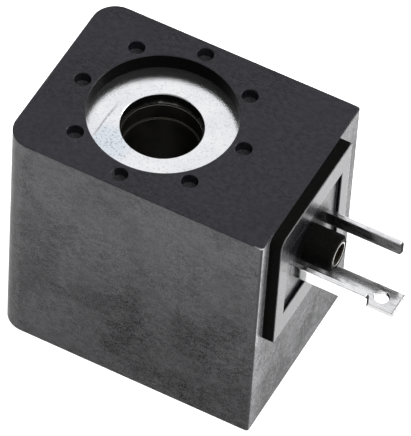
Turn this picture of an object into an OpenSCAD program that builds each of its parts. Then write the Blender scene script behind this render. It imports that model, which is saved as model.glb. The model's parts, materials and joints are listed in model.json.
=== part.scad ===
// Potted solenoid valve coil with a three-blade plug seat.
// The bore stands upright on Z, the base lies at Z = 0 and the plug seat faces +X.

/* [Bore] */
// Diameter of the bobbin's bore, which slides over the valve's tube
bore_d = 8.2; // [7:0.1:9]
// Radial step from the bore out to the holes in the steel legs
pole_gap = 0.25; // [0.2:0.05:0.5]
// Radial step of the lead-in at each end of the bore
lead_in_step = 0.2; // [0.2:0.05:0.4]
// Depth of each lead-in
lead_in_depth = 2; // [1:0.1:4]

/* [Bobbin and winding] */
// Diameter of the bobbin's flanges
flange_d = 18.4; // [17:0.1:21]
// Wall of the bobbin's tube
tube_wall = 1.1; // [0.6:0.1:1.6]
// How far the flanges stand proud of the tape
flange_lip = 0.6; // [0.3:0.1:1]
// Thickness of the insulating tape
tape_t = 0.2; // [0.1:0.05:0.4]
// Thickness of the two ears that hold the power blades' tails
ear_t = 0.6; // [0.4:0.1:1]
// Width of an ear
ear_w = 2.6; // [1.6:0.1:3]
// Ear material in front of a tail
ear_wall = 0.8; // [0.4:0.1:1.2]
// Resin between an ear and the yoke's leg
ear_gap = 0.2; // [0.1:0.05:0.5]

/* [Yoke] */
// Thickness of the steel strip
yoke_t = 1.7; // [1:0.1:2.5]
// Resin between the flanges and the yoke's web
yoke_gap = 0.6; // [0.2:0.1:1.5]
// How far the legs reach past the flanges on every side
yoke_step = 0.2; // [0.1:0.05:0.6]
// How far the legs reach under the wall of the end recesses
yoke_lap = 1.4; // [1:0.1:2]
// Inside radius of the yoke's bends
yoke_bend_r = 0.5; // [0.2:0.1:1.5]
// Corner radius of the legs' free ends
yoke_corner_r = 2; // [0.5:0.1:3]

/* [Moulded body] */
// Height of the body
body_h = 30; // [26:0.5:40]
// Wall beside the yoke
side_wall = 1.6; // [1:0.1:3]
// Wall behind the yoke's web
back_wall = 1.2; // [0.8:0.1:2]
// Radius of the two upright edges on the yoke's side
back_corner_r = 2.7; // [1:0.1:4]
// Radius of the two upright edges on the plug's side
front_corner_r = 0.3; // [0.2:0.1:1]
// Depth of the round recess in each end face, down to the steel leg
recess_depth = 1.85; // [1.4:0.05:3]

/* [Moulding marks] */
// Number of blind marks round the upper recess
mark_count = 8; // [4:1:12]
// Diameter of a mark
mark_d = 1.8; // [1:0.1:2]
// Depth of a mark
mark_depth = 1.2; // [0.5:0.1:1.3]
// From the rim of the recess out to the middle of a mark
mark_offset = 1.4; // [1.2:0.1:1.8]

/* [Plug seat] */
// Sideways place of the plug's axis
plug_y = -1.6; // [-2:0.1:2]
// Width of the seat
seat_w = 15.7; // [15:0.1:17]
// Height of the seat, down from the body's top
seat_h = 15.8; // [15:0.1:17]
// How far the seat stands out of the body
seat_t = 1.4; // [0.8:0.1:2]
// Radius of the seat's upper corner on the neutral blade's side
seat_corner_r = 1.2; // [0.5:0.1:2]
// Width of the seat's shallow pocket
pocket_w = 12.1; // [11:0.1:13]
// Height of the pocket
pocket_h = 10.1; // [9.5:0.1:12]
// Depth of the pocket
pocket_depth = 0.4; // [0.2:0.1:0.7]
// Diameter of the screw boss
boss_d = 4.1; // [3.8:0.1:4.6]
// Length of the boss out of the seat
boss_l = 3; // [2:0.1:4]
// Bevel round the end of the boss
boss_bevel = 0.25; // [0.1:0.05:0.45]

/* [Power blades] */
// Distance between the two blades
blade_pitch = 8; // [7:0.1:9]
// Height of a blade
blade_w = 1.7; // [1.2:0.1:2.8]
// Thickness of a blade
blade_t = 0.6; // [0.4:0.1:1]
// Length of a blade out of the seat
blade_l = 8.4; // [6:0.1:12]
// Bevel in height at a blade's tip
blade_bevel = 0.25; // [0.1:0.05:0.5]
// Depth of the chamfer on each broad face at a blade's tip
tip_chamfer = 0.1; // [0.05:0.05:0.15]
// Length of that chamfer
tip_chamfer_l = 0.25; // [0.1:0.05:1]
// Width of the tail that stands up into the ear
tail_w = 1.8; // [1.2:0.1:2.2]
// From the flange out to the tail
tail_gap = 2; // [1.6:0.1:2.4]
// How far a tail stands out of its ear
tail_stake = 0.3; // [0.1:0.05:0.6]

/* [Earth blade] */
// From the plug's axis down to the earth blade
earth_drop = 4; // [3.5:0.1:4.5]
// Width of the earth blade
earth_w = 3; // [2.6:0.1:3.4]
// Thickness of the earth blade
earth_t = 0.6; // [0.4:0.1:0.8]
// Length of the earth blade out of the seat
earth_l = 10.3; // [8:0.1:12]
// Diameter of the hole near its tip
earth_hole_d = 1.6; // [1:0.1:2]
// From the tip back to the hole's middle
earth_hole_inset = 2.05; // [1.6:0.05:3]
// Inside radius of its bends
earth_bend_r = 0.3; // [0.2:0.1:0.6]
// From the bobbin's flange out to the foot on the yoke
foot_gap = 0.4; // [0.2:0.1:1]

/* [Earth rivet] */
// Diameter of the rivet's shank
rivet_d = 1.4; // [1:0.1:1.6]
// Diameter of its heads
rivet_head_d = 2.4; // [2:0.1:2.6]
// Thickness of its heads
rivet_head_t = 0.6; // [0.3:0.1:0.8]
// Strip left round a head
rivet_edge = 0.2; // [0.1:0.05:0.5]

/* [Screw insert] */
// Outside diameter of the insert
insert_d = 3.1; // [2.9:0.1:3.2]
// Depth of the insert behind the body's front face
insert_embed = 3.3; // [2.5:0.1:5]
// Core diameter of its thread
thread_d = 2.1; // [1.8:0.05:2.4]
// Diameter of the bevelled mouth
mouth_d = 2.6; // [2.5:0.05:2.8]
// Diameter of the collar that holds it in the resin
collar_d = 4.4; // [3.6:0.1:4.8]
// Length of the collar
collar_l = 1.4; // [0.8:0.1:2]
// Thickness of its closed end
insert_floor = 1; // [0.5:0.1:2]
// Resin between the insert and the earth strip
resin_gap = 0.7; // [0.4:0.1:1.5]

/* [Wire ends] */
// Diameter of a wire end
lead_d = 0.3; // [0.2:0.05:0.4]
// Bend where a wire end leaves the winding
lead_bend_r = 0.3; // [0.25:0.05:0.6]
// From the winding's face to the wire end's middle
lead_inset = 0.3; // [0.2:0.05:0.5]
// Width of the groove for a wire end in the upper flange
groove_w = 0.5; // [0.45:0.05:0.8]
// Diameter of a solder joint
solder_d = 1; // [0.8:0.1:1.2]
// Tail left bare at each end of a solder joint
solder_margin = 0.1; // [0.05:0.05:0.3]
// Solder between a wire end and the tail
solder_film = 0.1; // [0.05:0.05:0.2]
// Resin between a solder joint and the ear
resin_film = 0.1; // [0.05:0.05:0.3]

/* [Hidden] */
$fn = 96;

// Which power blade a module makes: the line blade on +Y of the plug's axis, the neutral one on -Y
LINE = 1;
NEUTRAL = -1;
// How far a cutting shape runs past the face that it cuts
cut = 1;

// Radii, worked outwards from the bore
bore_r = bore_d / 2;
lead_in_r = bore_r + lead_in_step;
yoke_hole_r = bore_r + pole_gap;
tube_r = bore_r + tube_wall;
flange_r = flange_d / 2;
tape_r = flange_r - flange_lip;
winding_r = tape_r - tape_t;
recess_r = flange_r + yoke_step - yoke_lap;
mark_circle_r = recess_r + mark_offset;

// Places along X, worked outwards from the bore's axis
web_in_x = -flange_r - yoke_gap;
web_out_x = web_in_x - yoke_t;
back_x = web_out_x - back_wall;
leg_x = flange_r + yoke_step;
tail_x0 = flange_r + tail_gap;
tail_x1 = tail_x0 + tail_w;
foot_x = flange_r + foot_gap;
rivet_x = foot_x + rivet_edge + rivet_head_d / 2;
tongue_x = rivet_x + rivet_head_d / 2 + rivet_edge;
strip_x0 = tongue_x + earth_bend_r;
strip_x1 = strip_x0 + earth_t;
insert_x = strip_x1 + resin_gap;
front_x = insert_x + insert_embed;
seat_x = front_x + seat_t;
boss_x = seat_x + boss_l;
blade_x = seat_x + blade_l;
earth_x = seat_x + earth_l;

// Widths along Y
yoke_w = flange_d + 2 * yoke_step;
body_w = yoke_w + 2 * side_wall;

// Heights along Z
flange_t = ear_gap + ear_t + resin_film + solder_d / 2 + lead_bend_r;
lower_leg_z = recess_depth;
upper_leg_z = body_h - recess_depth - yoke_t;
bobbin_z0 = lower_leg_z + yoke_t;
bobbin_z1 = upper_leg_z;
window_z0 = bobbin_z0 + flange_t;
window_z1 = bobbin_z1 - flange_t;
ear_z1 = bobbin_z1 - ear_gap;
ear_z0 = ear_z1 - ear_t;
tail_z = ear_z1 + tail_stake;
lead_z = window_z1 + lead_bend_r;
plug_z = body_h - seat_h / 2;
earth_z = plug_z - earth_drop - earth_t / 2;

function blade_y(side) = plug_y + side * blade_pitch / 2;
function lead_y(side) = blade_y(side) + side * (blade_t / 2 + solder_film + lead_d / 2);
// Where a wire end leaves the winding, at a given distance from the bore's axis
function lead_x(side, r) = sqrt(pow(r, 2) - pow(lead_y(side), 2));

start_r = tube_r + lead_inset;
finish_r = winding_r - lead_inset;

// Extrudes an outline drawn in X and Z, centred on y
module across(y, width) {
    translate([0, y, 0])
        rotate([90, 0, 0])
            linear_extrude(width, center = true)
                children();
}

// Turns a shape drawn along Z so that it lies along X on the plug's axis
module on_plug_axis() {
    translate([0, plug_y, plug_z])
        rotate([0, 90, 0])
            children();
}

// Extrudes an outline drawn in Y and Z from the bore's axis out to x
module towards_plug(x) {
    rotate([90, 0, 90])
        linear_extrude(x)
            children();
}

// Box between two corners
module block(low, high) {
    translate(low)
        cube(high - low);
}

// Quarter of a flat ring about a bend's centre; quadrant 0 lies between +X and +Y
module bend(centre, inner_r, t, quadrant) {
    translate(centre)
        rotate(quadrant * 90)
            intersection() {
                difference() {
                    circle(inner_r + t);
                    circle(inner_r);
                }
                square(inner_r + t);
            }
}

// What a corner loses when it is rounded; the corner is at the origin and the plate lies towards +X and +Y
module corner_loss(r) {
    difference() {
        translate([-cut, -cut])
            square(r + cut);
        translate([r, r])
            circle(r);
    }
}

// Plate outline from x0 to x1 with its own corner radius at each end
module plate_plan(x0, x1, width, r0, r1) {
    difference() {
        translate([x0, -width / 2])
            square([x1 - x0, width]);
        for (side = [0, 1])
            mirror([0, side]) {
                translate([x0, -width / 2])
                    corner_loss(r0);
                translate([x1, -width / 2])
                    mirror([1, 0])
                        corner_loss(r1);
            }
    }
}

// C-bracket before its holes are punched: two legs, a web behind the winding and a tongue for the earth foot
module yoke_blank() {
    top_z = upper_leg_z + yoke_t;
    outer_r = yoke_bend_r + yoke_t;
    bend_x = web_out_x + outer_r;
    intersection() {
        across(0, yoke_w) {
            translate([bend_x, upper_leg_z])
                square([leg_x - bend_x, yoke_t]);
            bend([bend_x, top_z - outer_r], yoke_bend_r, yoke_t, 1);
            translate([web_out_x, lower_leg_z + outer_r])
                square([yoke_t, top_z - lower_leg_z - 2 * outer_r]);
            bend([bend_x, lower_leg_z + outer_r], yoke_bend_r, yoke_t, 2);
            translate([bend_x, lower_leg_z])
                square([leg_x - bend_x, yoke_t]);
        }
        linear_extrude(body_h)
            plate_plan(web_out_x - cut, leg_x, yoke_w, 0, yoke_corner_r);
    }
    block([recess_r, plug_y - earth_w / 2, upper_leg_z], [tongue_x, plug_y + earth_w / 2, top_z]);
}

// Zinc-plated steel bracket that carries the flux round the winding
module yoke_frame() {
    color("silver")
        difference() {
            yoke_blank();
            cylinder(r = yoke_hole_r, h = body_h);
            rivet_hole();
        }
}

// Ears on the upper flange, which hold the power blades' tails
module bobbin_ears() {
    for (side = [LINE, NEUTRAL])
        block([tube_r, blade_y(side) - ear_w / 2, ear_z0],
            [tail_x1 + ear_wall, blade_y(side) + ear_w / 2, ear_z1]);
}

// Groove under the upper flange that lets a wire end out
module lead_groove(side, r) {
    block([lead_x(side, r) - groove_w / 2, lead_y(side) - groove_w / 2, window_z1 - groove_w],
        [flange_r + cut, lead_y(side) + groove_w / 2, ear_z0]);
}

// Moulded spool that the wire is wound on
module bobbin() {
    color("dimgray")
        difference() {
            union() {
                rotate_extrude()
                    polygon([
                        [lead_in_r, bobbin_z0], [flange_r, bobbin_z0],
                        [flange_r, window_z0], [tube_r, window_z0],
                        [tube_r, window_z1], [flange_r, window_z1],
                        [flange_r, bobbin_z1], [lead_in_r, bobbin_z1],
                        [lead_in_r, bobbin_z1 - lead_in_depth], [bore_r, bobbin_z1 - lead_in_depth],
                        [bore_r, bobbin_z0 + lead_in_depth], [lead_in_r, bobbin_z0 + lead_in_depth]
                    ]);
                bobbin_ears();
            }
            lead_groove(LINE, start_r);
            lead_groove(NEUTRAL, finish_r);
            line_terminal();
            neutral_terminal();
        }
}

// Upright tube round the bore, between two radii and two heights
module tube(inner_r, outer_r, z0, z1) {
    difference() {
        translate([0, 0, z0])
            cylinder(r = outer_r, h = z1 - z0);
        translate([0, 0, z0 - cut])
            cylinder(r = inner_r, h = z1 - z0 + 2 * cut);
    }
}

// Enamelled copper wire, wound full between the flanges
module winding() {
    color("peru")
        tube(tube_r, winding_r, window_z0, window_z1);
}

// Insulating wrap round the winding
module winding_tape() {
    color("gold")
        tube(winding_r, tape_r, window_z0, window_z1);
}

// Flat stamping: a bevelled blade on the plug's side and a tail that stands up into the bobbin's ear
module power_terminal(side) {
    low_z = plug_z - blade_w / 2;
    high_z = plug_z + blade_w / 2;
    color("lightgray")
        intersection() {
            across(blade_y(side), blade_t)
                polygon([
                    [tail_x0, low_z], [blade_x - blade_bevel, low_z], [blade_x, low_z + blade_bevel],
                    [blade_x, high_z - blade_bevel], [blade_x - blade_bevel, high_z], [tail_x1, high_z],
                    [tail_x1, tail_z], [tail_x0, tail_z]
                ]);
            translate([0, blade_y(side), 0])
                linear_extrude(body_h)
                    polygon([
                        [0, -blade_t / 2], [blade_x - tip_chamfer_l, -blade_t / 2],
                        [blade_x, tip_chamfer - blade_t / 2], [blade_x, blade_t / 2 - tip_chamfer],
                        [blade_x - tip_chamfer_l, blade_t / 2], [0, blade_t / 2]
                    ]);
        }
}

module line_terminal() {
    power_terminal(LINE);
}

module neutral_terminal() {
    power_terminal(NEUTRAL);
}

// Earth strip before its holes are punched: a foot under the yoke's tongue, a riser and the blade
module earth_blank() {
    outer_r = earth_bend_r + earth_t;
    top_z = earth_z + earth_t;
    across(plug_y, earth_w) {
        translate([foot_x, upper_leg_z - earth_t])
            square([strip_x0 - earth_bend_r - foot_x, earth_t]);
        bend([strip_x0 - earth_bend_r, upper_leg_z - outer_r], earth_bend_r, earth_t, 0);
        translate([strip_x0, earth_z + outer_r])
            square([earth_t, upper_leg_z - earth_z - 2 * outer_r]);
        bend([strip_x0 + outer_r, earth_z + outer_r], earth_bend_r, earth_t, 2);
        polygon([
            [strip_x0 + outer_r, earth_z], [earth_x - tip_chamfer_l, earth_z],
            [earth_x, earth_z + tip_chamfer], [earth_x, top_z - tip_chamfer],
            [earth_x - tip_chamfer_l, top_z], [strip_x0 + outer_r, top_z]
        ]);
    }
}

// Tinned earth blade, riveted to the yoke by its foot
module earth_terminal() {
    color("lightgray")
        difference() {
            earth_blank();
            translate([earth_x - earth_hole_inset, plug_y, earth_z - cut])
                cylinder(d = earth_hole_d, h = earth_t + 2 * cut);
            rivet_hole();
        }
}

// Hole for the rivet's shank, through the foot and the tongue
module rivet_hole() {
    translate([rivet_x, plug_y, upper_leg_z - earth_t - cut])
        cylinder(d = rivet_d, h = earth_t + yoke_t + 2 * cut);
}

// Rivet through the yoke's tongue and the earth blade's foot
module earth_rivet() {
    low_z = upper_leg_z - earth_t;
    high_z = upper_leg_z + yoke_t;
    color("silver")
        translate([rivet_x, plug_y, 0])
            rotate_extrude()
                polygon([
                    [0, low_z - rivet_head_t], [rivet_head_d / 2, low_z - rivet_head_t],
                    [rivet_head_d / 2, low_z], [rivet_d / 2, low_z],
                    [rivet_d / 2, high_z], [rivet_head_d / 2, high_z],
                    [rivet_head_d / 2, high_z + rivet_head_t], [0, high_z + rivet_head_t]
                ]);
}

// Threaded insert with a collar at its closed end
module screw_insert() {
    thread_r = thread_d / 2;
    mouth_r = mouth_d / 2;
    color("darkgoldenrod")
        on_plug_axis()
            rotate_extrude()
                polygon([
                    [0, insert_x], [collar_d / 2, insert_x], [collar_d / 2, insert_x + collar_l],
                    [insert_d / 2, insert_x + collar_l], [insert_d / 2, boss_x], [mouth_r, boss_x],
                    [thread_r, boss_x - mouth_r + thread_r], [thread_r, insert_x + insert_floor],
                    [0, insert_x + insert_floor]
                ]);
}

// Wire end: a bend out of the winding's upper face and a straight run along the tail
module wire_end(side, r) {
    bend_x = lead_x(side, r) + lead_bend_r;
    end_x = tail_x1 - 2 * solder_margin;
    color("peru")
        translate([bend_x, lead_y(side), window_z1]) {
            rotate([90, 0, 0])
                rotate(90)
                    rotate_extrude(angle = 90)
                        translate([lead_bend_r, 0])
                            circle(d = lead_d);
            translate([0, 0, lead_bend_r])
                rotate([0, 90, 0])
                    cylinder(d = lead_d, h = end_x - bend_x);
        }
}

module start_lead() {
    wire_end(LINE, start_r);
}

module finish_lead() {
    wire_end(NEUTRAL, finish_r);
}

// Solder round a wire end, cut flat where it wets the tail
module solder_bead(side) {
    translate([tail_x0 + solder_margin, lead_y(side), lead_z])
        rotate([0, 90, 0])
            cylinder(d = solder_d, h = tail_w - 2 * solder_margin);
}

module start_solder() {
    color("gainsboro")
        difference() {
            solder_bead(LINE);
            line_terminal();
            start_lead();
        }
}

module finish_solder() {
    color("gainsboro")
        difference() {
            solder_bead(NEUTRAL);
            neutral_terminal();
            finish_lead();
        }
}

// Everything that the resin is moulded round; pieces that touch run into each other here
module moulded_in() {
    lower_z = bobbin_z0 - yoke_t / 2;
    upper_z = bobbin_z1 + yoke_t / 2;
    yoke_blank();
    rotate_extrude()
        polygon([
            [0, lower_z], [flange_r, lower_z], [flange_r, window_z0], [tape_r, window_z0],
            [tape_r, window_z1], [flange_r, window_z1], [flange_r, upper_z], [0, upper_z]
        ]);
    bobbin_ears();
    line_terminal();
    neutral_terminal();
    earth_blank();
    block([foot_x, plug_y - earth_w / 2, upper_leg_z - earth_t / 2],
        [tongue_x, plug_y + earth_w / 2, upper_leg_z + yoke_t / 2]);
    earth_rivet();
    on_plug_axis()
        translate([0, 0, insert_x]) {
            cylinder(d = collar_d, h = collar_l);
            cylinder(d = insert_d, h = boss_x - insert_x + cut);
        }
    start_lead();
    finish_lead();
    solder_bead(LINE);
    solder_bead(NEUTRAL);
}

// Raised seat for the plug, flush with the body's top, with its shallow pocket
module plug_seat() {
    difference() {
        towards_plug(seat_x)
            difference() {
                translate([plug_y - seat_w / 2, body_h - seat_h])
                    square([seat_w, seat_h]);
                translate([plug_y - seat_w / 2, body_h])
                    mirror([0, 1])
                        corner_loss(seat_corner_r);
            }
        block([seat_x - pocket_depth, plug_y - pocket_w / 2, plug_z - pocket_h / 2],
            [seat_x + cut, plug_y + pocket_w / 2, plug_z + pocket_h / 2]);
    }
}

// Round boss for the plug's screw, bevelled at its end
module screw_boss() {
    on_plug_axis() {
        cylinder(d = boss_d, h = boss_x - boss_bevel);
        translate([0, 0, boss_x - boss_bevel])
            cylinder(d1 = boss_d, d2 = boss_d - 2 * boss_bevel, h = boss_bevel);
    }
}

// Black moulded resin round the whole coil
module encapsulation() {
    color([0.16, 0.16, 0.17])
        difference() {
            union() {
                linear_extrude(body_h)
                    plate_plan(back_x, front_x, body_w, back_corner_r, front_corner_r);
                plug_seat();
                screw_boss();
            }
            moulded_in();
            translate([0, 0, -cut])
                cylinder(r = recess_r, h = body_h + 2 * cut);
            for (i = [0 : mark_count - 1])
                rotate(i * 360 / mark_count)
                    translate([mark_circle_r, 0, body_h - mark_depth])
                        cylinder(d = mark_d, h = mark_depth + cut);
        }
}

encapsulation();
yoke_frame();
bobbin();
winding();
winding_tape();
line_terminal();
neutral_terminal();
earth_terminal();
earth_rivet();
screw_insert();
start_lead();
finish_lead();
start_solder();
finish_solder();
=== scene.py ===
# %% [markdown]
# This lesson dresses a potted solenoid valve coil: a black moulded block round a bobbin, with a bright steel
# ring in its end recess and a plug seat with three metal blades on one side.
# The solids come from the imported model, in metres and in their final places. We could model everything
# afresh, but then a blade could drift away from its slot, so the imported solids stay, and here they get soft
# edges and finishes. Lengths below are in millimetres unless a line says otherwise.

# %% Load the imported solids
import json
import math

import bpy
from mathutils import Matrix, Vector


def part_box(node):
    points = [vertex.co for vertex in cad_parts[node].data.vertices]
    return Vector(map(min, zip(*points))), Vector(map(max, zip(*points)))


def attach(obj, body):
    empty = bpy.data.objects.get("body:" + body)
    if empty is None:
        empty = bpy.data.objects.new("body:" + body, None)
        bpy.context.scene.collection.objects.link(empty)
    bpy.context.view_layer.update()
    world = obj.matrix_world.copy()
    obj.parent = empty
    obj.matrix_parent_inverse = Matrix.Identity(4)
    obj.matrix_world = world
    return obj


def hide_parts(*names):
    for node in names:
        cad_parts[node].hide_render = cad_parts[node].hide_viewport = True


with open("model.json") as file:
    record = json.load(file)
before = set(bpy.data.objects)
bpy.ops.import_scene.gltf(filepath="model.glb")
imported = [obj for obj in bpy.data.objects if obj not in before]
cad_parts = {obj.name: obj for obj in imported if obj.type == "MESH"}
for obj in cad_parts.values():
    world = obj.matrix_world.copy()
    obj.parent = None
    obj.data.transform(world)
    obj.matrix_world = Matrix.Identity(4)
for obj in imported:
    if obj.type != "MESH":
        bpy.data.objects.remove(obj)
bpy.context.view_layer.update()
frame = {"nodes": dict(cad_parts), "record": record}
solids = frame["nodes"]
MM = 0.001
print("solids:", ", ".join(sorted(solids)))

# %% [markdown]
# The photograph was taken from far away with a long lens, so parallel edges stay almost parallel. A camera
# could be moved by eye until the picture fits. Its place, turn and lens were worked out instead, from the
# corners of the block and the rim of the recess, because that fits all edges at once.
# Blender's lens is given for the longer side of the picture, which here is its height.

# %% Camera at the photograph's place
PICTURE_HEIGHT = 436                           # pixels
FOCAL_PIXELS = 5561.92
CAMERA_AT = (0.16133, -0.337676, 0.462828)     # metres
CAMERA_TURN = (39.7358, -2.5836, 27.8575)      # degrees
NEAR, FAR = 0.01, 50                           # metres
camera = bpy.data.objects.new("photo_camera", bpy.data.cameras.new("photo_camera"))
camera.data.sensor_width = 36
camera.data.lens = FOCAL_PIXELS * camera.data.sensor_width / PICTURE_HEIGHT
camera.data.clip_start, camera.data.clip_end = NEAR, FAR
camera.location = CAMERA_AT
camera.rotation_euler = [math.radians(turn) for turn in CAMERA_TURN]
bpy.context.scene.collection.objects.link(camera)
bpy.context.scene.camera = camera
print("lens in mm:", round(camera.data.lens, 1))

# %% [markdown]
# A finish is a material made only of nodes. Nodes can be wired by hand, but that takes many lines, so three
# small classes help. Wire is the first: an output socket that can be added and multiplied like a number.
# Each sum on a Wire adds a Math node. Colours never go through Math nodes, which would turn them grey.

# %% Wires
class Wire:
    """An output socket; arithmetic on it adds Math nodes, also where a plain number comes first."""

    def __init__(self, nodes, socket):
        self.nodes = nodes
        self.socket = socket

    def math(self, operation, first, second=0):
        return self.nodes.node("ShaderNodeMath", {"operation": operation}, {0: first, 1: second})

    def __add__(self, other):
        return self.math("ADD", self, other)

    def __radd__(self, other):
        return self.math("ADD", other, self)

    def __sub__(self, other):
        return self.math("SUBTRACT", self, other)

    def __rsub__(self, other):
        return self.math("SUBTRACT", other, self)

    def __mul__(self, other):
        return self.math("MULTIPLY", self, other)

    def __rmul__(self, other):
        return self.math("MULTIPLY", other, self)

    def __gt__(self, other):
        return self.math("GREATER_THAN", self, other)

    def __lt__(self, other):
        return self.math("LESS_THAN", self, other)

    def __abs__(self):
        return self.math("ABSOLUTE", self)

    def most(self, other):
        return self.math("MAXIMUM", self, other)


# %% [markdown]
# Nodes is a node tree under construction. Its method node adds any node in one call: the settings first,
# because they decide which sockets there are, and then the values or wires of the sockets. The room uses it
# too, so what only a material needs comes later.

# %% Node trees
NOISE_LOW, NOISE_HIGH = 0.3, 0.7


class Nodes:
    """A node tree under construction."""

    def __init__(self, tree):
        self.tree = tree
        tree.nodes.clear()

    def node(self, kind, settings=None, sockets=None, output=0):
        """Adds a node: its settings are set first, then its sockets get values or wires."""
        made = self.tree.nodes.new(kind)
        for name, value in (settings or {}).items():
            setattr(made, name, value)
        for name, value in (sockets or {}).items():
            if isinstance(value, Wire):
                self.tree.links.new(value.socket, made.inputs[name])
            else:
                made.inputs[name].default_value = value
        return Wire(self, made.outputs[output]) if made.outputs else None

    def between(self, value, low, high, out_low=0, out_high=1):
        """Spreads the range from low to high smoothly over another range."""
        return self.node("ShaderNodeMapRange", {"interpolation_type": "SMOOTHSTEP"}, {
            "Value": value, "From Min": low, "From Max": high, "To Min": out_low, "To Max": out_high})

    def spread(self, noise, out_low=0, out_high=1):
        """Spreads noise, which mostly stays near its middle, over another range."""
        return self.between(noise, NOISE_LOW, NOISE_HIGH, out_low, out_high)

    def split(self, vector):
        """The three numbers of a vector."""
        first = self.node("ShaderNodeSeparateXYZ", {}, {0: vector})
        return [Wire(self, socket) for socket in first.socket.node.outputs]

    def along(self, first, second):
        """How far two directions agree: one if they are the same, zero if they are square to each other."""
        return self.node("ShaderNodeVectorMath", {"operation": "DOT_PRODUCT"}, {0: first, 1: second},
                         output="Value")


# %% [markdown]
# Finish is a node tree in a new material, with the steps that most finishes share: a place on the object,
# noise, a mix of colours, a bump, a shader. The place is in millimetres, so a noise of three blobs in a
# millimetre is as fine on a blade as on the block. Texture coordinates of an unwrapped mesh would do too,
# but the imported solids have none.

# %% Finishes
class Finish(Nodes):
    """A material under construction."""

    def __init__(self, name):
        self.material = bpy.data.materials.new(name)
        self.material.use_nodes = True
        super().__init__(self.material.node_tree)

    def place(self, stretch=(1, 1, 1)):
        """The point on the object in millimetres; stretch squeezes it along each axis."""
        point = self.node("ShaderNodeTexCoord", output="Object")
        scale = [s / MM for s in stretch]
        return self.node("ShaderNodeVectorMath", {"operation": "MULTIPLY"}, {0: point, 1: scale})

    def face(self):
        """The face's own direction."""
        return self.node("ShaderNodeNewGeometry", output="True Normal")

    def rounded(self, radius):
        """The direction that a rounded edge would have, and how far the face agrees with it."""
        direction = self.node("ShaderNodeBevel", {"samples": 4}, {"Radius": radius * MM})
        return direction, self.along(direction, self.face())

    def apart(self, first, second):
        """The square of the distance from where both numbers are zero."""
        return first * first + second * second

    def noise(self, place, per_mm, detail=3, rough=0.5, swirl=0):
        """Cloudy values near 0.5, with about per_mm blobs in a millimetre."""
        return self.node("ShaderNodeTexNoise", {}, {
            "Vector": place, "Scale": per_mm, "Detail": detail, "Roughness": rough, "Distortion": swirl})

    def blend(self, share, first, second):
        """Mixes two colours."""
        ends = [end if isinstance(end, Wire) else (*end, 1) for end in (first, second)]
        return self.node("ShaderNodeMix", {"data_type": "RGBA"}, {"Factor": share, 6: ends[0], 7: ends[1]},
                         output=2)

    def bump(self, height, depth, under=None):
        """Turns a height into a direction; depth is how deep a height of one is."""
        sockets = {"Height": height, "Distance": depth * MM, "Strength": 1}
        if under:
            sockets["Normal"] = under
        return self.node("ShaderNodeBump", {}, sockets)

    def shade(self, **sockets):
        """A Principled shader; words in a socket's name are joined with underscores."""
        names = {"Ior": "IOR"}
        titles = {name.replace("_", " ").title(): value for name, value in sockets.items()}
        return self.node("ShaderNodeBsdfPrincipled", {}, {names.get(t, t): v for t, v in titles.items()})

    def mix(self, share, first, second):
        """Mixes two shaders."""
        return self.node("ShaderNodeMixShader", {}, {0: share, 1: first, 2: second})

    def done(self, surface):
        """Wires the surface to the output and hands over the material."""
        self.node("ShaderNodeOutputMaterial", {}, {"Surface": surface})
        print("finish", self.material.name, "has", len(self.tree.nodes), "nodes")
        return self.material


# %% [markdown]
# The block is moulded in one piece, but its finish isn't the same all over: the plug seat, the recess and
# the marks of the mould's pins look different. We could give each zone a material of its own, but that would
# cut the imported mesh. So each zone is a mask, one inside and zero outside, worked out from the place and the
# direction of a face.

# %% Zones of the block
PLUG_SIDE_X, SEAT_X = 17.3, 18.7      # the block's side under the plug seat, and the seat's face
POCKET_DEPTH = 0.4
RECESS_R = 8
PIN_MARK_DEPTH = 2
SKIN = 0.03                           # what is nearer to a face than this lies on it
SQUARE = 0.9                          # a face's direction above this looks squarely along the axis
block_low, block_high = (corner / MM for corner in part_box("encapsulation"))
plug_axis = sum(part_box("screw_insert"), Vector()) / 2 / MM

resin = Finish("black_resin")
place = resin.place()
x, y, z = resin.split(place)
facing_x, _, facing_z = resin.split(resin.face())
on_seat = x > PLUG_SIDE_X + SKIN
in_pocket = on_seat * (x < SEAT_X - POCKET_DEPTH / 2)
below_top = z < block_high.z - SKIN
in_recess = (resin.apart(x, y) < (RECESS_R + SKIN) ** 2) * (z > SKIN) * below_top
pin_floor = (1 - in_recess) * (z > block_high.z - PIN_MARK_DEPTH) * below_top * (facing_z > SQUARE)
print("the plug's axis is at y", round(plug_axis.y, 2), "and z", round(plug_axis.z, 2))

# %% [markdown]
# Up close, the moulded skin is cloudy where the resin flowed, and mottled, grainy and porous. Here and there
# a grain of filler shows as a light speck. A photograph of a real skin could be wrapped round the block, but
# noise of several sizes, each for one thing that happens in the mould, fits any shape and has no seam.

# %% Patterns in the skin
cloud = resin.noise(place, 0.14, detail=4, rough=0.55, swirl=0.8)
mottle = resin.noise(place, 1.3, detail=4, rough=0.65, swirl=0.3)
patch = mottle * 0.5 + cloud * 0.5
waves = resin.noise(place, 0.55, detail=1, rough=0.4)
grain = resin.noise(place, 3, detail=3, rough=0.6)
pores = resin.noise(resin.place((0.8, 1, 1)), 7, detail=2, rough=0.7)
streaks = resin.noise(resin.place((0.7, 1, 1)), 2.4, detail=3, rough=0.6, swirl=0.4)
coarse = resin.between(resin.noise(place, 0.22, detail=2), 0.35, 0.65, 0.6, 0.95)
cell = resin.node("ShaderNodeTexVoronoi", {}, {"Vector": place, "Scale": 0.4})
speck = resin.between(cell, 0.02, 0.045, 1, 0)
print("the skin's patterns take", len(resin.tree.nodes), "nodes with its zones")
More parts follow.
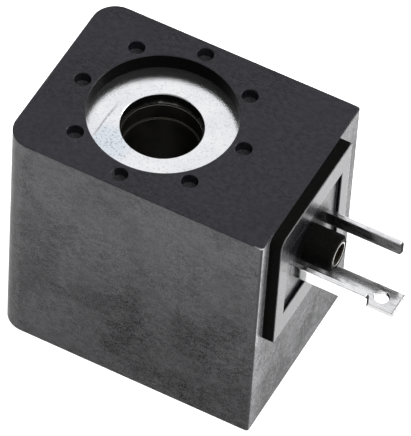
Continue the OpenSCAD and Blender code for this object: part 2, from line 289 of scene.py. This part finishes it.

# %% [markdown]
# No moulded edge is perfectly sharp. A real bevel would need a new mesh for the block, so the Bevel node
# gives only the direction that a slightly rounded edge would have. Where the face leaves that direction we
# are on an edge, and near the plug seat the skin is painted light grey there: partly wear, partly a painted
# edge highlight.
# The side under the seat is painted lighter along its front edge too: a painted sheen, as of the bright floor
# that it mirrors there.

# %% Worn edges, painted edge highlights and painted sheen
EDGE_R = 0.25
ON_EDGE, ON_FACE = 0.75, 0.985        # how far a face agrees with the rounded direction
# The light edges are partly wear and partly a painted edge highlight.
LIGHT_EDGE_ENDS, LIGHT_EDGE_FULL = 1.2, 0.2       # how far the wear reaches from the plug side
RIM_WEAR_AND_HIGHLIGHT, REAR_WEAR_AND_HIGHLIGHT = 0.22, 0.15
SEAT_FOOT_Z = 14.2
SHEEN_BAND_WIDTH, SHEEN_BAND_SHARE, SHEEN_BAND_SPREAD = 3.5, 0.16, 3
SHEEN_EDGE_WIDTH, SHEEN_EDGE_SHARE = 1.2, 0.35
rounded, on_face = resin.rounded(EDGE_R)
by_seat = resin.between(x, PLUG_SIDE_X - LIGHT_EDGE_ENDS, PLUG_SIDE_X - LIGHT_EDGE_FULL)
on_rim = (x > SEAT_X - EDGE_R) * (x < SEAT_X + SKIN) * RIM_WEAR_AND_HIGHLIGHT
outer = (abs(y) > block_high.y - EDGE_R) * by_seat + (x < block_low.x + EDGE_R) * REAR_WEAR_AND_HIGHLIGHT
on_edge = resin.between(on_face, ON_EDGE, ON_FACE, 1, 0)
worn_and_highlight = on_edge * (outer * resin.between(patch, 0.34, 0.54) + on_rim)
from_edge = y - block_low.y
# Painted sheen: the side under the seat is lighter along its front edge.
sheen_band = resin.between(from_edge + (mottle - 0.5) * SHEEN_BAND_SPREAD, 0, SHEEN_BAND_WIDTH, SHEEN_BAND_SHARE, 0)
sheen_beside_seat = resin.between(from_edge, 0, SHEEN_EDGE_WIDTH, SHEEN_EDGE_SHARE, 0) * (z > SEAT_FOOT_Z)
painted_sheen = (facing_x > SQUARE) * (1 - on_seat) * (sheen_band + sheen_beside_seat)
print("edges look rounded by", EDGE_R, "mm")

# %% [markdown]
# The resin is nearly black all through, so almost all the grey that we see is the bright room and floor
# mirrored in its skin. A lighter base colour could give the same grey from one side, but it would look
# chalky from the others. So the colour stays dark, and the gloss, the grain and slow waves bend the light.
# The plug seat comes from a smoother part of the mould, so its skin is glossier and flatter.

# %% Moulded skin
SKIN_COLOURS = (0.0005, 0.0005, 0.0035), (0.0115, 0.0105, 0.0135)
SPECK_WEAR_SHEEN_COLOUR = (0.62, 0.62, 0.63)
PIN_FLOOR_COLOUR = (0.015, 0.015, 0.017)
SPECK_SHARE = 0.05
GRAIN_DEPTH, WAVE_DEPTH = 0.02, 0.03
CALM_GRAIN, CALM_WAVES = 0.9, 0.8     # how much of each the seat lacks
tint = resin.between(pores * 0.6 + mottle * 0.2 + cloud * 0.2, 0.42, 0.58)
colour = resin.blend(tint, *SKIN_COLOURS)
# Filler specks and wear are real; the edge highlight and the lighter strip beside the seat are painted light.
colour = resin.blend((speck * SPECK_SHARE).most(worn_and_highlight).most(painted_sheen), colour, SPECK_WEAR_SHEEN_COLOUR)
colour = resin.blend(pin_floor, colour, PIN_FLOOR_COLOUR)
rough = resin.between(mottle * 0.6 + cloud * 0.4, 0.36, 0.64, 0.26, 0.4)
seat_rough = resin.spread(grain, 0.2, 0.26) + in_pocket * 0.06
rough = rough - on_seat * (rough - seat_rough)
wavy = resin.bump(waves * (1 - on_seat * CALM_WAVES), WAVE_DEPTH, rounded)
grainy = resin.bump(grain * (1 - on_seat * CALM_GRAIN), GRAIN_DEPTH, wavy)
moulded = resin.shade(base_color=colour, roughness=rough, ior=1.53, normal=grainy)
print("the moulded skin has bumps of", GRAIN_DEPTH, "and", WAVE_DEPTH, "mm")

# %% [markdown]
# The sides of the seat, the boss and the wall of the recess, which look blackest, get a share of a second,
# almost dull shader: painted shade. The bottoms of the pores get some of it too. One shader could vary its
# gloss, but gloss only blurs the room's image and doesn't darken it. So a second, almost dull shader is made,
# and a share of it is mixed in. A soft dark patch round the boss, which runs from it to the seat's corner, is
# a painted reflection of the boss.

# %% Dull black and painted reflection of the boss
DULL_COLOURS = (0.001, 0.001, 0.001), (0.0034, 0.0032, 0.003)
BOSS_R, HALO_R, HALO_SHARE = 2.6, 5, 0.95
MARK_SHARE = 0.62
# MARK_SHARE and the numbers below shape the painted reflection of the boss, a dark streak towards the seat's
# corner.
MARK_ACROSS = (0.8, 0.6)              # direction across the flow mark, in Y and Z
MARK_CORE, MARK_HALF = 1.4, 4.2       # half of its width: where it starts to fade, and where it ends
MARK_RISE, MARK_REACH = 2, 3          # it grows over this height above the axis, and fades over this width
polish = resin.noise(place, 3, detail=4)
black = resin.blend(polish, *DULL_COLOURS)
black = resin.blend(worn_and_highlight, black, SPECK_WEAR_SHEEN_COLOUR)
dull = resin.shade(base_color=black, roughness=resin.spread(polish, 0.18, 0.3), ior=1.03,
                   normal=resin.bump(polish, 0.004, rounded))
sideways, upwards = y - plug_axis.y, z - plug_axis.z
# Painted reflection: the seat is darker round the boss.
painted_boss_reflection = resin.between(resin.apart(sideways, upwards), BOSS_R ** 2, HALO_R ** 2, HALO_SHARE, 0)
across = abs(sideways * MARK_ACROSS[0] + upwards * MARK_ACROSS[1])
mark = resin.between(across, MARK_CORE, MARK_HALF, MARK_SHARE, 0) * resin.between(upwards, 0, MARK_RISE)
mark = mark * resin.between(patch, 0.36, 0.56, 0.55, 1) * resin.between(sideways, 0, MARK_REACH, 1, 0)
# The printed width is that of the painted reflection streak.
print("the flow mark is up to", 2 * MARK_HALF, "mm wide")

# %% [markdown]
# How much of the dull shader shows is a mask like the others: more in the pores. The rest of it is painted
# shade: more towards the foot of the block and on faces that look up, less near its top and on faces that
# look along X, and more on the round rear edges. We could paint the mask by hand on an unwrapped
# mesh, but noise and a few smooth ranges need no unwrapping and have no seams.

# %% Black resin
PORE_SHARE, STREAK_SHARE, CLOUD_SHARES = 0.26, 0.12, (0.01, 0.18)
DULL_Z, BRIGHT_Z = 8, 28
LIGHT_FOOT, DARK_FOOT, BRIGHT_SHARE = 0.28, 0.46, 0.18
DARK_FOOT_X = 4
SIDES_LACK, TOP_ADDS, SEAT_LACKS = 0.4, 0.08, 0.9
pitted = (resin.between(pores, 0.36, 0.64, -PORE_SHARE, PORE_SHARE)
          + resin.between(streaks, 0.35, 0.65, -STREAK_SHARE, STREAK_SHARE))
turned = abs(facing_x)
foot = resin.between(x, block_low.x, DARK_FOOT_X, LIGHT_FOOT, DARK_FOOT)
# Painted shade: darker towards the foot and on faces that look up, lighter on faces that look along X.
painted_shade_by_height = resin.between(z, DULL_Z, BRIGHT_Z, foot, BRIGHT_SHARE) * (1 - turned * SIDES_LACK)
painted_shade_by_height = painted_shade_by_height + facing_z.most(0) * TOP_ADDS
flow = resin.between(cloud * 0.75 + mottle * 0.25, 0.4, 0.62, *CLOUD_SHARES) + pitted * coarse + painted_shade_by_height
# Painted shade on the round edges.
painted_shade_on_rounds = resin.between(turned, 0, 0.5) * resin.between(turned, 0.8, 1, 0.5, 0)
# Painted shade on the sides of the seat and the boss and on the wall of the recess.
painted_shade_walls = on_seat * (facing_x < SQUARE) + in_recess
share = painted_shade_walls.most(on_seat * painted_boss_reflection.most(mark)).most(flow * (1 - on_seat * SEAT_LACKS)).most(painted_shade_on_rounds)
black_resin = resin.done(resin.mix(share, moulded, dull))

# %% [markdown]
# The yoke is steel strip with a dull zinc coat: bright, but broken up by fine crystals and dark spots. Metal
# has no colour under its skin, so Metallic is close to one, and the base colour tints its reflections.
# On the ring in the recess, a rub mark crosses the plate beside the bore, and the zinc is stained bluish on
# one side of it. Both could be cut into the mesh, but they have no depth, so they are masks. The wall
# of the hole is painted darker: painted shade inside the hole.

# %% Zinc-plated steel
RUB_AT, RUB_LEAN, RUB_LENGTH = (-5.5, -2.4), 0.03, 7
RUB_CORE, RUB_HALF = 0.04, 0.2
STAIN_AT, STAIN_R = (-4, -5), 3.4
HOLE_R = 4.35
ZINC_COLOURS = (0.81, 0.82, 0.83), (0.94, 0.94, 0.935)
STAIN_COLOUR, SPOT_COLOUR, HOLE_SHADE_COLOUR = (0.66, 0.75, 0.82), (0.3, 0.31, 0.34), (0.2, 0.195, 0.185)


def make_zinc():
    zinc = Finish("zinc_steel")
    place = zinc.place()
    x, y, _ = zinc.split(place)
    crystals = zinc.noise(place, 6, detail=4, rough=0.7)
    spots = zinc.noise(place, 4, detail=3, rough=0.7)
    clouds = zinc.noise(place, 0.4, detail=4, swirl=0.5)
    beside = x - RUB_AT[0] - RUB_LEAN * (y - RUB_AT[1]) + (clouds - 0.5) * 0.3
    on_length = zinc.between(abs(y - RUB_AT[1]), 1, 0.5 * RUB_LENGTH, 1, 0)
    rub = zinc.between(abs(beside), RUB_CORE, RUB_HALF, 1, 0) * on_length
    from_stain = zinc.apart(x - STAIN_AT[0], y - STAIN_AT[1])
    stain = zinc.between(from_stain, 1, STAIN_R ** 2, 1, 0) * zinc.between(beside, 0, 0.3)
    colour = zinc.blend(zinc.between(clouds * 0.5 + crystals * 0.5, 0.35, 0.65), *ZINC_COLOURS)
    colour = zinc.blend(stain * 0.6, colour, STAIN_COLOUR)
    spotted = zinc.between(spots, 0.53, 0.68) * 0.3 + stain * zinc.between(spots, 0.52, 0.62) * 0.4
    spotted = spotted.most(rub * zinc.between(spots, 0.3, 0.5, 0.25, 0.7))
    colour = zinc.blend(spotted, colour, SPOT_COLOUR)
    upright = abs(zinc.split(zinc.face())[2]) < 0.5
    # Painted shade on the wall of the hole.
    colour = zinc.blend((zinc.apart(x, y) < (HOLE_R + SKIN) ** 2) * upright, colour, HOLE_SHADE_COLOUR)
    metal = zinc.between(crystals, 0.35, 0.65, 0.985, 1)
    rough = zinc.spread(crystals, 0.07, 0.15)
    return zinc.done(zinc.shade(base_color=colour, metallic=metal, roughness=rough,
                                normal=zinc.bump(crystals, 0.012)))


zinc_steel = make_zinc()

# %% [markdown]
# The blades are strip plated with bright tin. Rolling leaves long fine lines along the strip, so the noise is
# squeezed along X, and a little slow waviness bends the mirror images, as on a real stamping.
# Shearing and handling take the tin off the rounded edges, which face no axis squarely. The sides of the far
# power blade and the sides and end of the earth blade are painted greyer: painted shade. The ends of the
# power blades were cut after plating and are bare. The far half of the wall of the earth blade's hole gets
# the same dark shader: painted shade. All of these could be separate materials on separate faces, but the
# rounded edges come later, from a modifier, so masks fit better.

# %% Tinned strip
POWER_TIP_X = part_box("line_terminal")[1].x / MM
CUT_LENGTH = 0.2
HOLE_INSET, EARTH_HOLE_R = 2.05, 0.8
EARTH_HOLE_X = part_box("earth_terminal")[1].x / MM - HOLE_INSET
EARTH_BELOW = 3                       # the earth blade lies further below the plug's axis than this
TIN_COLOURS = (0.88, 0.88, 0.87), (0.6, 0.6, 0.6)
EDGE_GREY, EARTH_SHADE_GREY, FAR_SHADE_GREY = (0.1, 0.1, 0.1), (0.3, 0.3, 0.3), (0.26, 0.26, 0.26)
SHEARED_AND_SHADE_COLOURS = (0.008, 0.008, 0.01), (0.03, 0.028, 0.03)


def make_tin():
    tin = Finish("tinned_strip")
    lines = tin.noise(tin.place((0.25, 6, 6)), 1.6, detail=3, rough=0.5)
    waves = tin.noise(tin.place((0.6, 1, 1)), 0.8, detail=1)
    smears = tin.noise(tin.place((0.5, 1.5, 1.5)), 1.4, detail=5, rough=0.65, swirl=0.6)
    x, y, z = tin.split(tin.place())
    facing_x, facing_y, facing_z = (abs(number) for number in tin.split(tin.face()))
    edge = (facing_x < SQUARE) * (facing_y < SQUARE) * (facing_z < SQUARE)
    earth_sides_shade = (facing_x > 0.3).most(facing_y > SQUARE) * (z < plug_axis.z - EARTH_BELOW)
    far_side_shade = (facing_y > SQUARE) * (y > 0)
    colour = tin.blend(tin.between(smears * 0.6 + lines * 0.4, 0.42, 0.68), *TIN_COLOURS)
    colour = tin.blend(edge * 0.9, colour, EDGE_GREY)
    # Painted shade on the earth blade's sides and end, and on the far power blade's sides.
    colour = tin.blend(earth_sides_shade * 0.85, colour, EARTH_SHADE_GREY)
    colour = tin.blend(far_side_shade * tin.between(smears, 0.35, 0.65, 0.98, 0.7), colour, FAR_SHADE_GREY)
    rough = tin.spread(lines * 0.5 + smears * 0.5, 0.06, 0.22)
    rolled = tin.bump(lines, 0.001, tin.bump(waves, 0.01))
    plated = tin.shade(base_color=colour, metallic=1, roughness=rough, normal=rolled)
    # The dark shader is bare metal on the cut ends, and painted shade on the far half of the hole's wall.
    sheared = tin.shade(base_color=tin.blend(smears, *SHEARED_AND_SHADE_COLOURS), roughness=0.4, ior=1.05)
    cut_end = (facing_x > 0.55) * (x > POWER_TIP_X - CUT_LENGTH) * (x < POWER_TIP_X + SKIN)
    ahead = x - EARTH_HOLE_X
    in_hole = tin.apart(ahead, y - plug_axis.y) < (EARTH_HOLE_R + SKIN) ** 2
    return tin.done(tin.mix(cut_end.most(in_hole * tin.between(ahead, 0, 0.5)), plated, sheared))


tinned_strip = make_tin()

# %% [markdown]
# The bobbin's bore shows as a brown-black wall inside the ring. It is moulded, and the core pin that shaped
# it has left faint rings, so the bump is squeezed along Z. Its edges, at the top and at a step, are painted
# light, mostly on one side: painted glints. Thin rings could be laid on them as pieces of
# their own, but the Bevel node finds the edges on the imported mesh as it is.

# %% Bobbin plastic
BORE_EDGE_R = 0.1
BOBBIN_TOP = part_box("bobbin")[1].z / MM
# STEP_BELOW and RIM_BELOW place the painted glints on the step and on the rim.
STEP_BELOW, RIM_BELOW = 1, 0.4        # below the top: where the step's faint wear ends, and the rim's starts
GLINT_Y = 4
BOBBIN_COLOURS = (0.002, 0.002, 0.0015), (0.0055, 0.005, 0.004)
GLINT_COLOUR = (0.16, 0.154, 0.135)


def make_bobbin_plastic():
    plastic = Finish("bobbin_plastic")
    rings = plastic.noise(plastic.place((0.15, 0.15, 5)), 1, detail=4)
    cloud = plastic.noise(plastic.place(), 0.6, detail=4)
    colour = plastic.blend(plastic.spread(cloud), *BOBBIN_COLOURS)
    rounded, on_face = plastic.rounded(BORE_EDGE_R)
    _, y, z = plastic.split(plastic.place())
    # Painted glints along the bore's edges.
    painted_glint = plastic.between(z, BOBBIN_TOP - STEP_BELOW, BOBBIN_TOP - RIM_BELOW, 0.3, 1)
    painted_glint = painted_glint * plastic.between(y, 0, GLINT_Y, 0.15, 1)
    edge = plastic.between(on_face, 0.75, 0.97, 1, 0)
    colour = plastic.blend(edge * painted_glint, colour, GLINT_COLOUR)
    return plastic.done(plastic.shade(base_color=colour, roughness=plastic.spread(rings, 0.3, 0.48), ior=1.3,
                                      normal=plastic.bump(rings, 0.006, rounded)))


bobbin_plastic = make_bobbin_plastic()

# %% [markdown]
# The screw insert is turned brass with a thin nickel coat. Turning leaves rings round the plug's axis, which
# runs along X, so fine noise is squeezed along X. The coat is bright on the narrow ring round the mouth of
# the hole. The thread is painted dull and dark: painted shade inside the hole. The ring could be a piece of
# its own, but it is one with the insert, so a mask picks it by its direction and distance from the axis.

# %% Plated brass
RING_R = 1.38
NICKEL_COLOURS = (0.62, 0.61, 0.57), (0.42, 0.4, 0.34)
THREAD_SHADE_COLOURS = (0.003, 0.0025, 0.002), (0.009, 0.007, 0.005)


def make_plated_brass():
    brass = Finish("plated_brass")
    rings = brass.noise(brass.place((7, 0.2, 0.2)), 1, detail=3)
    tarnish = brass.noise(brass.place(), 1.4, detail=4)
    _, y, z = brass.split(brass.place())
    on_ring = brass.apart(y - plug_axis.y, z - plug_axis.z) < RING_R ** 2
    coated = (brass.split(brass.face())[0] > SQUARE) * on_ring
    rough = brass.spread(rings, 0.2, 0.34)
    turned = brass.bump(rings, 0.002)
    nickel = brass.blend(brass.between(tarnish, 0.4, 0.7), *NICKEL_COLOURS)
    bright = brass.shade(base_color=nickel, metallic=1, roughness=rough, normal=turned)
    # Painted shade: the thread gets a dull, nearly black shader.
    bare = brass.blend(tarnish, *THREAD_SHADE_COLOURS)
    dark = brass.shade(base_color=bare, roughness=rough, ior=1.1, normal=turned)
    return brass.done(brass.mix(coated, dark, bright))


plated_brass = make_plated_brass()

# %% [markdown]
# The winding, its tape and the soldered joints are sealed in the resin. They could stay plain, but the model
# may be cut open, so they have their finishes too: copper wire in close rings, a smooth yellow film, and dull
# solder. Each turn of wire as a mesh would be thousands of faces that nobody sees, so a wave along Z draws
# the turns.

# %% Sealed pieces
COPPER_COLOURS = (0.3, 0.1, 0.04), (0.7, 0.3, 0.13)
FILM_COLOURS = (0.72, 0.46, 0.06), (0.8, 0.56, 0.12)
SOLDER_COLOURS = (0.5, 0.5, 0.52), (0.68, 0.68, 0.68)


def make_wire():
    wire = Finish("copper_wire")
    turns = wire.node("ShaderNodeTexWave", {"bands_direction": "Z", "wave_profile": "SIN"},
                      {"Vector": wire.place(), "Scale": 1.6, "Distortion": 0.4, "Detail": 2})
    enamel = wire.noise(wire.place(), 0.8, detail=4)
    colour = wire.blend(wire.between(turns * 0.7 + enamel * 0.3, 0.2, 0.8), *COPPER_COLOURS)
    return wire.done(wire.shade(base_color=colour, metallic=1, roughness=wire.spread(enamel, 0.18, 0.32),
                                normal=wire.bump(turns, 0.06)))


def make_film():
    film = Finish("yellow_tape")
    wrap = film.noise(film.place((1, 1, 0.2)), 0.7, detail=4)
    return film.done(film.shade(base_color=film.blend(film.spread(wrap), *FILM_COLOURS),
                                roughness=film.spread(wrap, 0.2, 0.35), normal=film.bump(wrap, 0.02)))


def make_solder():
    solder = Finish("solder")
    skin = solder.noise(solder.place(), 3, detail=4)
    colour = solder.blend(solder.spread(skin), *SOLDER_COLOURS)
    return solder.done(solder.shade(base_color=colour, metallic=1, roughness=solder.spread(skin, 0.25, 0.45),
                                    normal=solder.bump(skin, 0.02)))


copper_wire, yellow_tape, solder_joint = make_wire(), make_film(), make_solder()

# %% [markdown]
# Every solid has one material slot, which the record names. The finishes could be put on one by one, but the
# record already says which solid is made of what, so a loop follows it.

# %% Put the finishes on
FINISHES = {"black_resin": black_resin, "zinc_steel": zinc_steel, "tinned_strip": tinned_strip,
            "bobbin_plastic": bobbin_plastic, "plated_brass": plated_brass, "copper_wire": copper_wire,
            "yellow_tape": yellow_tape, "solder": solder_joint}
for part in frame["record"]["subparts"]:
    solids[part["node"]].data.materials[0] = FINISHES[part["material_slot"]]

# %% [markdown]
# The blades and the yoke are sheared from strip, and a small round on each edge catches the light as a thin
# bright line. On these slim pieces the Bevel node isn't enough, because the outline shows too, so the Bevel
# modifier makes real rounds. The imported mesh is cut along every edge, so Weld joins it first, and a planar
# Decimate removes the triangles of flat faces, which would tear in the bevel.

# %% Soft edges
SOFT_EDGES = {"yoke_frame": 0.2, "line_terminal": 0.08, "neutral_terminal": 0.08, "earth_terminal": 0.08}
JOIN_WITHIN = 0.0005
FLAT_ANGLE, SHARP_ANGLE = 0.5, 30     # degrees
ROUND_STEPS = 2


def soften(name, width):
    piece = solids[name]
    weld = piece.modifiers.new("join_faces", "WELD")
    weld.merge_threshold = JOIN_WITHIN * MM
    flat = piece.modifiers.new("whole_faces", "DECIMATE")
    flat.decimate_type = "DISSOLVE"
    flat.angle_limit = math.radians(FLAT_ANGLE)
    edge = piece.modifiers.new("soft_edges", "BEVEL")
    edge.width = width * MM
    edge.segments = ROUND_STEPS
    edge.limit_method = "ANGLE"
    edge.angle_limit = math.radians(SHARP_ANGLE)
    edge.use_clamp_overlap = False
    edge.harden_normals = True
    evaluated = piece.evaluated_get(bpy.context.evaluated_depsgraph_get())
    print(name, "has", len(evaluated.data.polygons), "faces with soft edges")


for name, width in SOFT_EDGES.items():
    soften(name, width)

# %% [markdown]
# The insert's solid has a plain hole at the thread's core, but from the plug's side the first turns of the
# thread can be seen. So a turned piece takes its place: rows of points round the plug's axis, and inside the
# hole each row swings in and out with the thread's helix. A screw modifier could sweep a profile too, but it
# leaves the ends open.

# %% Profile of the threaded insert
PITCH, CORE_R, ROOT_R, MOUTH_R = 0.45, 1.05, 1.25, 1.28
BODY_R, COLLAR_R, COLLAR_LENGTH, END_WALL = 1.55, 2.2, 1.4, 1
RIM = 0.08
POINTS = 48
ROWS_PER_TURN = 8
STEEP, ROOT_FLAT = 1.5, 0.25          # slope of a tooth's flanks, and how much the root cuts off its foot


def hole_r(x, mouth_x, share):
    """Radius of the threaded hole at one x and one share of a full turn."""
    climb = (x / PITCH - share) % 1
    tooth = min(max(STEEP * abs(2 * climb - 1) - ROOT_FLAT, 0), 1)
    return max(ROOT_R - (ROOT_R - CORE_R) * tooth, MOUTH_R - (mouth_x - x))


def insert_rows(low_x, high_x):
    """Rows of (x, radius), each once round the axis: along the outside to the mouth, then into the hole."""
    outside = [(low_x, COLLAR_R), (low_x + COLLAR_LENGTH, COLLAR_R), (low_x + COLLAR_LENGTH, BODY_R),
               (high_x - RIM, BODY_R), (high_x, BODY_R - RIM)]
    rows = [[(x, r)] * POINTS for x, r in outside]
    steps = int((high_x - low_x - END_WALL) / PITCH * ROWS_PER_TURN)
    for step in range(steps + 1):
        x = high_x - step * PITCH / ROWS_PER_TURN
        rows.append([(x, hole_r(x, high_x, i / POINTS)) for i in range(POINTS)])
    print("insert has", len(rows), "rows and", round(steps / ROWS_PER_TURN, 1), "turns of thread")
    return rows


# %% [markdown]
# Now the rows become a mesh. Each point of a row is joined to its neighbour and to the next row, and the
# first and the last row are closed by one face each, so the piece is a closed solid like the one that it
# replaces. Bridging loops by hand in edit mode gives the same mesh, but a list of faces is exact and repeats.
# The piece rides on the same body as the rest and takes its finish from the same slot.

# %% Threaded insert
def make_insert():
    low, high = (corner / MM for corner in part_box("screw_insert"))
    middle = (low + high) / 2
    rows = insert_rows(low.x, high.x)
    turns = [math.tau * i / POINTS for i in range(POINTS)]
    points = [(x, middle.y + r * math.cos(turn), middle.z + r * math.sin(turn))
              for row in rows for turn, (x, r) in zip(turns, row)]
    corners = [(i, (i + 1) % POINTS) for i in range(POINTS)]
    starts = [row * POINTS for row in range(len(rows))]
    faces = [(a + i, a + j, b + j, b + i) for a, b in zip(starts, starts[1:]) for i, j in corners]
    faces += [tuple(reversed(range(POINTS))), tuple(range(starts[-1], starts[-1] + POINTS))]
    mesh = bpy.data.meshes.new("threaded_insert")
    mesh.from_pydata([Vector(point) * MM for point in points], [], faces)
    mesh.shade_smooth()
    mesh.set_sharp_from_angle(angle=math.radians(SHARP_ANGLE))
    mesh.materials.append(plated_brass)
    print("insert has", len(faces), "faces")
    return bpy.data.objects.new("threaded_insert", mesh)


insert = make_insert()
bpy.context.scene.collection.objects.link(insert)
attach(insert, "root")
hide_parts("screw_insert")

# %% [markdown]
# The coil stands on a plain white table. More lamps could keep it white to the edge of the picture, but they
# would burn into the metal too. So the table glows a little, as a light table does, and throws soft light up
# at the sides. It lies a hair below the coil's base, because two faces in one plane flicker.

# %% Table
TABLE_HALF = 3                        # metres
HAIR = 0.01
TABLE_COLOURS = (0.48, 0.48, 0.48), (0.52, 0.52, 0.52)
TABLE_GLOW = 0.7
corners = [(-1, -1), (1, -1), (1, 1), (-1, 1)]
table = bpy.data.meshes.new("white_table")
table.from_pydata([(TABLE_HALF * a, TABLE_HALF * b, -HAIR * MM) for a, b in corners], [], [(0, 1, 2, 3)])
floor = bpy.data.objects.new("white_table", table)
bpy.context.scene.collection.objects.link(floor)
white = Finish("white_table")
paper = white.blend(white.noise(white.place(), 0.002, detail=3), *TABLE_COLOURS)
table.materials.append(white.done(white.shade(
    base_color=paper, roughness=0.8, emission_color=(1, 1, 1, 1), emission_strength=TABLE_GLOW)))
print("table is", 2 * TABLE_HALF, "m wide")

# %% [markdown]
# The room is white, but dimmer on the camera's side, as a real one is: bright metal needs something dark to
# mirror, or it looks like white paper. A dark board could stand there, but it would throw a shadow. The dot
# product with one direction tells how far a ray looks to that side, so the room itself can grow dim there.

# %% Room
DIM_SIDE = Vector((-0.1, -0.75, 0.65)).normalized()
DIM_STARTS, DIM_FULL = 0.7, 0.95      # how far a ray agrees with that direction
BRIGHT_ROOM, DIM_ROOM = 0.95, 0.3
ROOM_COLOUR = (0.97, 0.97, 1, 1)
room = bpy.data.worlds.new("white_room")
room.use_nodes = True
air = Nodes(room.node_tree)
to_dim_side = air.along(air.node("ShaderNodeTexCoord", output="Generated"), DIM_SIDE)
strength = air.between(to_dim_side, DIM_STARTS, DIM_FULL, BRIGHT_ROOM, DIM_ROOM)
glow = air.node("ShaderNodeBackground", {}, {"Color": ROOM_COLOUR, "Strength": strength})
air.node("ShaderNodeOutputWorld", {}, {"Surface": glow})
bpy.context.scene.world = room
bpy.context.scene.view_settings.view_transform = "Standard"
print("the room has", len(room.node_tree.nodes), "nodes")

# %% [markdown]
# One large soft lamp hangs above, a little in front and to the right, and a small one behind on the right
# draws thin lines of light along the edges, as two studio softboxes would. A sun lamp would be simpler, but
# its shadows are hard. The large lamp is kept out of the mirror images, where its round shape would burn a
# white spot into the steel ring.

# %% Soft lamps
# Name, place and width in metres, watts, and whether mirror images show it.
LAMPS = (("soft_lamp", Vector((0.3, -0.15, 0.88)), 1.1, 23, False),
         ("edge_lamp", Vector((0.6, 0.62, 0.62)), 0.3, 4, True))
for name, spot, width, watts, mirrored in LAMPS:
    lamp = bpy.data.objects.new(name, bpy.data.lights.new(name, "AREA"))
    lamp.data.shape = "DISK"
    lamp.data.size = width
    lamp.data.energy = watts
    lamp.visible_glossy = mirrored
    lamp.location = spot
    lamp.rotation_euler = (-spot).to_track_quat("-Z", "Y").to_euler()
    bpy.context.scene.collection.objects.link(lamp)
    print(name, "is", round(spot.length, 2), "m away")

# %% [markdown]
# Last, the view layer is updated, so that every object's place and size are current.

# %% Update the scene
bpy.context.view_layer.update()
